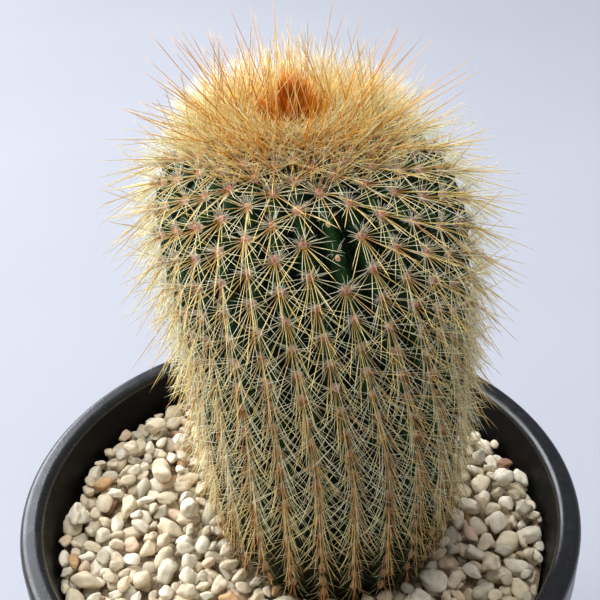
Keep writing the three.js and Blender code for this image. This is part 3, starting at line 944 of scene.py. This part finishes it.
def make_spine_row(index):
    """One rib's areoles with their spines and wool; a bare one has only its cushion and some wool."""
    batch = Batch()
    for distance in AREOLES[index]:
        point, side, along, normal = crest_frame(index, distance)
        place = (point, side, along, normal)
        low = 1 - smoothstep(*CUSHION_BASE_ZONE, distance)
        woolly = smoothstep(*WOOL_UPPER_ZONE, distance)
        bare = index == BARE_RIB and any(abs(distance - spot) < BARE_REACH for spot in BARE_AREOLES)
        size = np.array([0.7 + 0.1 * woolly, 1.1 + 0.6 * low - 0.25 * woolly, 0.7]) * rng.uniform(0.9, 1.1)
        if bare:
            cushion(batch, *place, size * (0.6, 0.75, 0.7), WOOL_BARE)
            wool_hairs(batch, 12, point + along * 0.7, side, along, normal, 2.2)
            continue
        cushion(batch, *place, size, WOOL_PINK if rng.uniform() < woolly else WOOL_TAN)
        radial_spines(batch, distance, *place)
        upper_radials(batch, distance, *place)
        central_spines(batch, distance, *place)
        wool_hairs(batch, int(5 + 29 * woolly), *place, 2.0)
    number = f"{index + 1:02d}"
    batch.build(f"spines_rib_{number}", FIBRES, f"spine_row_{number}")


def crown_ring(batch, count, radii, lean, lengths, tones, thickness, steps, longer):
    """One ring of the crown's spines, as a line of CROWN_RINGS says."""
    turn = rng.uniform(0, 2 * math.pi, count)
    share = np.sqrt(rng.uniform(0, 1, count))
    out = radii[0] + (radii[1] - radii[0]) * share
    top = slice(-CROWN_OUTLINE_POINTS, None)
    distance = np.interp(-out, -TABLE_RADIUS[top], TABLE_DISTANCE[top])
    height = np.interp(distance, TABLE_DISTANCE, TABLE_HEIGHT)
    base = around_stem(turn, out, height - CROWN_SUNK)
    outward = np.stack([np.cos(turn), np.sin(turn), np.zeros(count)], -1)
    tilt = np.radians(lean[0] + (lean[1] - lean[0]) * share + rng.normal(0, CROWN_TILT_VARIES, count))
    way = np.sin(tilt)[:, None] * outward + np.cos(tilt)[:, None] * np.array([0, 0, 1])
    way = unit(way + rng.normal(0, CROWN_WAY_VARIES, (count, 3)))
    length = rng.uniform(*lengths, count) * (1 + longer * np.clip(np.sin(turn), 0, 1))
    length = below_ceiling(base, way, length)
    # Painted shade: the front spines turned deeper gold, the back left paler
    painted_front_shade = PAINTED_FRONT_SHADE * np.clip(-np.sin(turn), 0, 1) if longer else 0
    tone = tones[0] + (tones[1] - tones[0]) * share + rng.normal(0, CROWN_TONE_VARIES, count) - painted_front_shade
    bend = rng.normal(0, CROWN_CURL, (count, 3))
    radius = rng.uniform(*thickness, count)
    needles(batch, 0, base, way, bend, length, radius, np.clip(tone, 0, 0.99), steps)


def make_crown():
    """The dense young spines around the growing point."""
    fibre = fibre_material(
        "crown_spines", (0, 0.25, 0.55, 1),
        [(172, 78, 12), (200, 112, 18), (232, 156, 24), (238, 222, 154)],
        [(204, 108, 22), (230, 150, 36), (253, 196, 50), (255, 251, 214)],
        (0.1, 0.85),
    )
    batch = Batch()
    for settings in CROWN_RINGS:
        crown_ring(batch, *settings)
    batch.build("crown_spines", [fibre], "crown_tuft")


# Gravel ------------------------

def cad_pebbles():
    """Each CAD pebble's number, name and lowest and highest corner."""
    for number in range(1, PEBBLE_COUNT + 1):
        node = f"pebble_{number:02d}"
        low, high = (np.array(corner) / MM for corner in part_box(node))
        yield number, node, low, high


def sphere(fineness):
    """Points and triangles of a round ball one unit in radius."""
    ball = bmesh.new()
    bmesh.ops.create_icosphere(ball, subdivisions=fineness, radius=1)
    points = np.array([corner.co[:] for corner in ball.verts])
    triangles = np.array([[corner.index for corner in face.verts] for face in ball.faces])
    ball.free()
    return points, triangles


def stone_shape(ball):
    """A worn, broken stone that fills the box from -1 to 1."""
    faces = unit(rng.normal(size=(STONE_FACES, 3)))
    reach = rng.uniform(*STONE_FACE_REACH, STONE_FACES)
    limit = np.minimum(reach / np.maximum(ball @ faces.T, 0.01), 3)
    nearest = np.exp(-STONE_SOFTNESS * limit).sum(1) + np.exp(-STONE_SOFTNESS * STONE_ROUND_REACH)
    size = -np.log(nearest) / STONE_SOFTNESS
    waves = rng.normal(0, 3.2, (STONE_WAVES, 3))
    size += STONE_WAVE_HEIGHT * np.sin(ball @ waves.T + rng.uniform(0, 6.28, STONE_WAVES)).sum(1)
    shape = ball * size[:, None]
    low, high = shape.min(0), shape.max(0)
    return (shape - (low + high) / 2) * 2 / (high - low)


def stone_corners(ball, triangles, index, across):
    """Each stone's own patch of the texture: one disc for its top and one for its underside."""
    under = ball[triangles].mean(1)[:, 2] < 0
    up = np.where(under[:, None], -ball[triangles][..., 2], ball[triangles][..., 2])
    flat = unit(ball[triangles][..., :2] + 1e-9) * np.sqrt(np.clip(1 - up, 0, 2))[..., None]
    cell = 2 * index + under
    start = np.stack([cell % across, cell // across], -1)
    return (start[:, None] + 0.5 + STONE_DISC * flat) / across


def stone_tint():
    """A stone's colour: mostly cream and white, now and then tan or brown."""
    pick = rng.uniform()
    shade = next(shade for limit, shade in STONE_SHADES if pick <= limit)
    return np.array(colour(*shade)[:3]) * rng.uniform(*STONE_BRIGHTNESS)


def settle_stones():
    """Drops stones one by one to the lowest of a few places, and returns where and how each lies."""
    span = np.arange(-GROUND_HALF, GROUND_HALF, GROUND_CELL)
    ground = np.full((len(span), len(span)), GRAVEL_TOP - GRAVEL_DEPTH)
    ceiling = np.full(ground.shape, GRAVEL_CREST)
    for _, _, low, high in cad_pebbles():
        inside = np.ix_((span > low[0]) & (span < high[0]), (span > low[1]) & (span < high[1]))
        ceiling[inside] = low[2]
    edge = inner_radius(GRAVEL_TOP) - STONE_WALL_GAP
    shortest, longest = STONE_LENGTH
    stones = []
    misses = 0
    while misses < MISSES_ALLOWED:
        long = shortest * (longest / shortest) ** (rng.uniform() ** 1.5)
        size = long / 2 * np.array([1, rng.uniform(*STONE_WIDTH), rng.uniform(*STONE_THICKNESS)])
        best = None
        for _ in range(PLACES_TRIED):
            turn, yaw = rng.uniform(0, 2 * math.pi, 2)
            away = math.sqrt(rng.uniform()) * (edge - size[1])
            x, y = away * math.cos(turn), away * math.sin(turn)
            if away + size[0] > edge:
                yaw = turn + math.pi / 2
            if math.hypot(x - STEM_MIDDLE[0], y - STEM_MIDDLE[1]) < STEM_OUTLINE[0][0] + size[1]:
                continue
            low_x = int((x - size[0] + GROUND_HALF) / GROUND_CELL)
            low_y = int((y - size[0] + GROUND_HALF) / GROUND_CELL)
            wide = int(2 * size[0] / GROUND_CELL) + 2
            patch = (slice(low_x, low_x + wide), slice(low_y, low_y + wide))
            across, up = np.meshgrid(span[patch[0]] - x, span[patch[1]] - y, indexing="ij")
            along = (across * math.cos(yaw) + up * math.sin(yaw)) / size[0]
            beside = (up * math.cos(yaw) - across * math.sin(yaw)) / size[1]
            bulge = np.sqrt(np.clip(1 - along ** 2 - beside ** 2, 0, 1)) * size[2]
            touched = bulge > 0
            if not touched.any():
                continue
            rest = (ground[patch] + STONE_REST * bulge)[touched].max()
            if (rest + bulge > ceiling[patch])[touched].any():
                continue
            if best is None or rest < best[0]:
                best = (rest, x, y, yaw, patch, bulge)
        if best is None:
            misses += 1
            continue
        rest, x, y, yaw, patch, bulge = best
        ground[patch] = np.where(bulge > 0, np.maximum(ground[patch], rest + bulge), ground[patch])
        stones.append((np.array([x, y, rest]), size, yaw))
    return stones


def add_stone(batch, ball, triangles, index, across, centre, size, turned):
    """One stone, turned and set in place."""
    points = stone_shape(ball) * size @ np.array(turned).T + centre
    batch.add(points, triangles, stone_corners(ball, triangles, index, across), tint=stone_tint())


def make_gravel(stones_material):
    """The dropped stones, in layers that keep each piece light."""
    ball, triangles = sphere(3)
    stones = settle_stones()
    layer_size = math.ceil(len(stones) / len(GRAVEL_LAYERS))
    across = math.ceil(math.sqrt(2 * layer_size))
    for layer, name in enumerate(GRAVEL_LAYERS):
        batch = Batch()
        for index, (centre, size, yaw) in enumerate(stones[layer * layer_size:(layer + 1) * layer_size]):
            tip_x, tip_y = rng.normal(0, STONE_TILTS)
            tip = Matrix.Rotation(tip_x, 3, "X") @ Matrix.Rotation(tip_y, 3, "Y")
            turned = Matrix.Rotation(yaw, 3, "Z") @ tip
            add_stone(batch, ball, triangles, index, across, centre, size, turned)
        batch.build(name, [stones_material], "gravel_bed")


def make_grit():
    """The gritty floor that shows between the stones."""
    turn = np.linspace(0, 2 * math.pi, GRIT_COLUMNS, endpoint=False)
    share = np.linspace(0, 1, GRIT_ROWS)[:, None]
    middle_x = STEM_MIDDLE[0] * (1 - share)
    middle_y = STEM_MIDDLE[1] * (1 - share)
    outer = inner_radius(GRAVEL_TOP - 4) - GRIT_WALL_GAP
    reach = GRIT_INNER_RADIUS + (outer - GRIT_INNER_RADIUS) * share
    height = GRAVEL_TOP - GRIT_DEPTH + rng.normal(0, GRIT_ROUGHNESS, (GRIT_ROWS, GRIT_COLUMNS))
    points = np.stack([middle_x + reach * np.cos(turn), middle_y + reach * np.sin(turn), height], -1)
    batch = Batch()
    batch.add(*grid(points[::-1], True))
    grit = grit_material("gravel_grit", colour(110, 92, 70), colour(186, 168, 138))
    batch.build("gravel_grit", [grit], "gravel_bed")


def make_pebbles(stones_material):
    """A finer stone in the place of each CAD pebble."""
    ball, triangles = sphere(4)
    for number, node, low, high in cad_pebbles():
        batch = Batch()
        turned = Matrix.Rotation(rng.uniform(0, 6.28), 3, "Z")
        centre = (low + high) / 2
        size = (high - low) / 2 * PEBBLE_GROWTH
        add_stone(batch, ball, triangles, 0, 2, centre, size, turned)
        batch.build(f"stone_{number:02d}", [stones_material], node)


def dress_soil():
    """Gives the CAD's soil its looks."""
    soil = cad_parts["soil"]
    soil.data.materials.clear()
    soil.data.materials.append(grit_material("soil_mix", colour(34, 24, 17), colour(86, 62, 42)))


# Studio ------------------------

def make_floor():
    """A plain pale floor."""
    mesh = bpy.data.meshes.new("floor")
    reach = FLOOR_REACH
    corners = [(-reach, -reach, 0), (reach, -reach, 0), (reach, reach, 0), (-reach, reach, 0)]
    mesh.from_pydata(corners, [], [(0, 1, 2, 3)])
    floor = bpy.data.objects.new("floor", mesh)
    bpy.context.scene.collection.objects.link(floor)
    material, tree, shader = new_material("floor_paper", 0.85, 0.2)
    shade = ramp(tree, noise(tree, 3), [(0.3, colour(164, 166, 175)), (0.7, colour(171, 173, 182))])
    tree.links.new(shade, shader.inputs["Base Color"])
    mesh.materials.append(material)


def make_world():
    """The pale, even light from all round."""
    world = bpy.data.worlds.new("studio")
    world.use_nodes = True
    backdrop = world.node_tree.nodes["Background"]
    backdrop.inputs["Color"].default_value = BACKDROP_COLOUR
    backdrop.inputs["Strength"].default_value = BACKDROP_STRENGTH
    bpy.context.scene.world = world


def add_light(name, place, watts, width, shade):
    """A square soft light that faces the plant."""
    light = bpy.data.lights.new(name, "AREA")
    light.energy = watts
    light.size = width
    light.color = shade
    lamp = bpy.data.objects.new(name, light)
    lamp.location = place
    lamp.rotation_euler = (Vector(LIGHT_AIM) - Vector(place)).to_track_quat("-Z", "Y").to_euler()
    bpy.context.scene.collection.objects.link(lamp)


def make_camera():
    """The camera at the photo's angle."""
    back = Vector((0, -math.cos(CAMERA_TILT), math.sin(CAMERA_TILT)))
    right = Vector((1, 0, 0))
    up = back.cross(right)
    across = right * math.cos(CAMERA_ROLL) + up * math.sin(CAMERA_ROLL)
    above = up * math.cos(CAMERA_ROLL) - right * math.sin(CAMERA_ROLL)
    turned = Matrix((across, above, back)).transposed().to_4x4()
    lens = bpy.data.cameras.new("camera")
    lens.lens = CAMERA_LENS
    lens.sensor_width = CAMERA_SENSOR
    lens.clip_start = CAMERA_NEAREST
    camera = bpy.data.objects.new("camera", lens)
    camera.matrix_world = Matrix.Translation(Vector(CAMERA_AIM) + back * CAMERA_DISTANCE) @ turned
    bpy.context.scene.collection.objects.link(camera)
    bpy.context.scene.camera = camera
    bpy.context.scene.view_settings.view_transform = "Standard"


make_pot()
dress_soil()
gravel_stone = stone_material("gravel_stone")
make_gravel(gravel_stone)
make_grit()
make_pebbles(gravel_stone)
make_stem()
for rib in range(RIB_COUNT):
    make_spine_row(rib)
make_crown()
make_floor()
make_world()
for light_settings in LIGHTS:
    add_light(*light_settings)
make_camera()
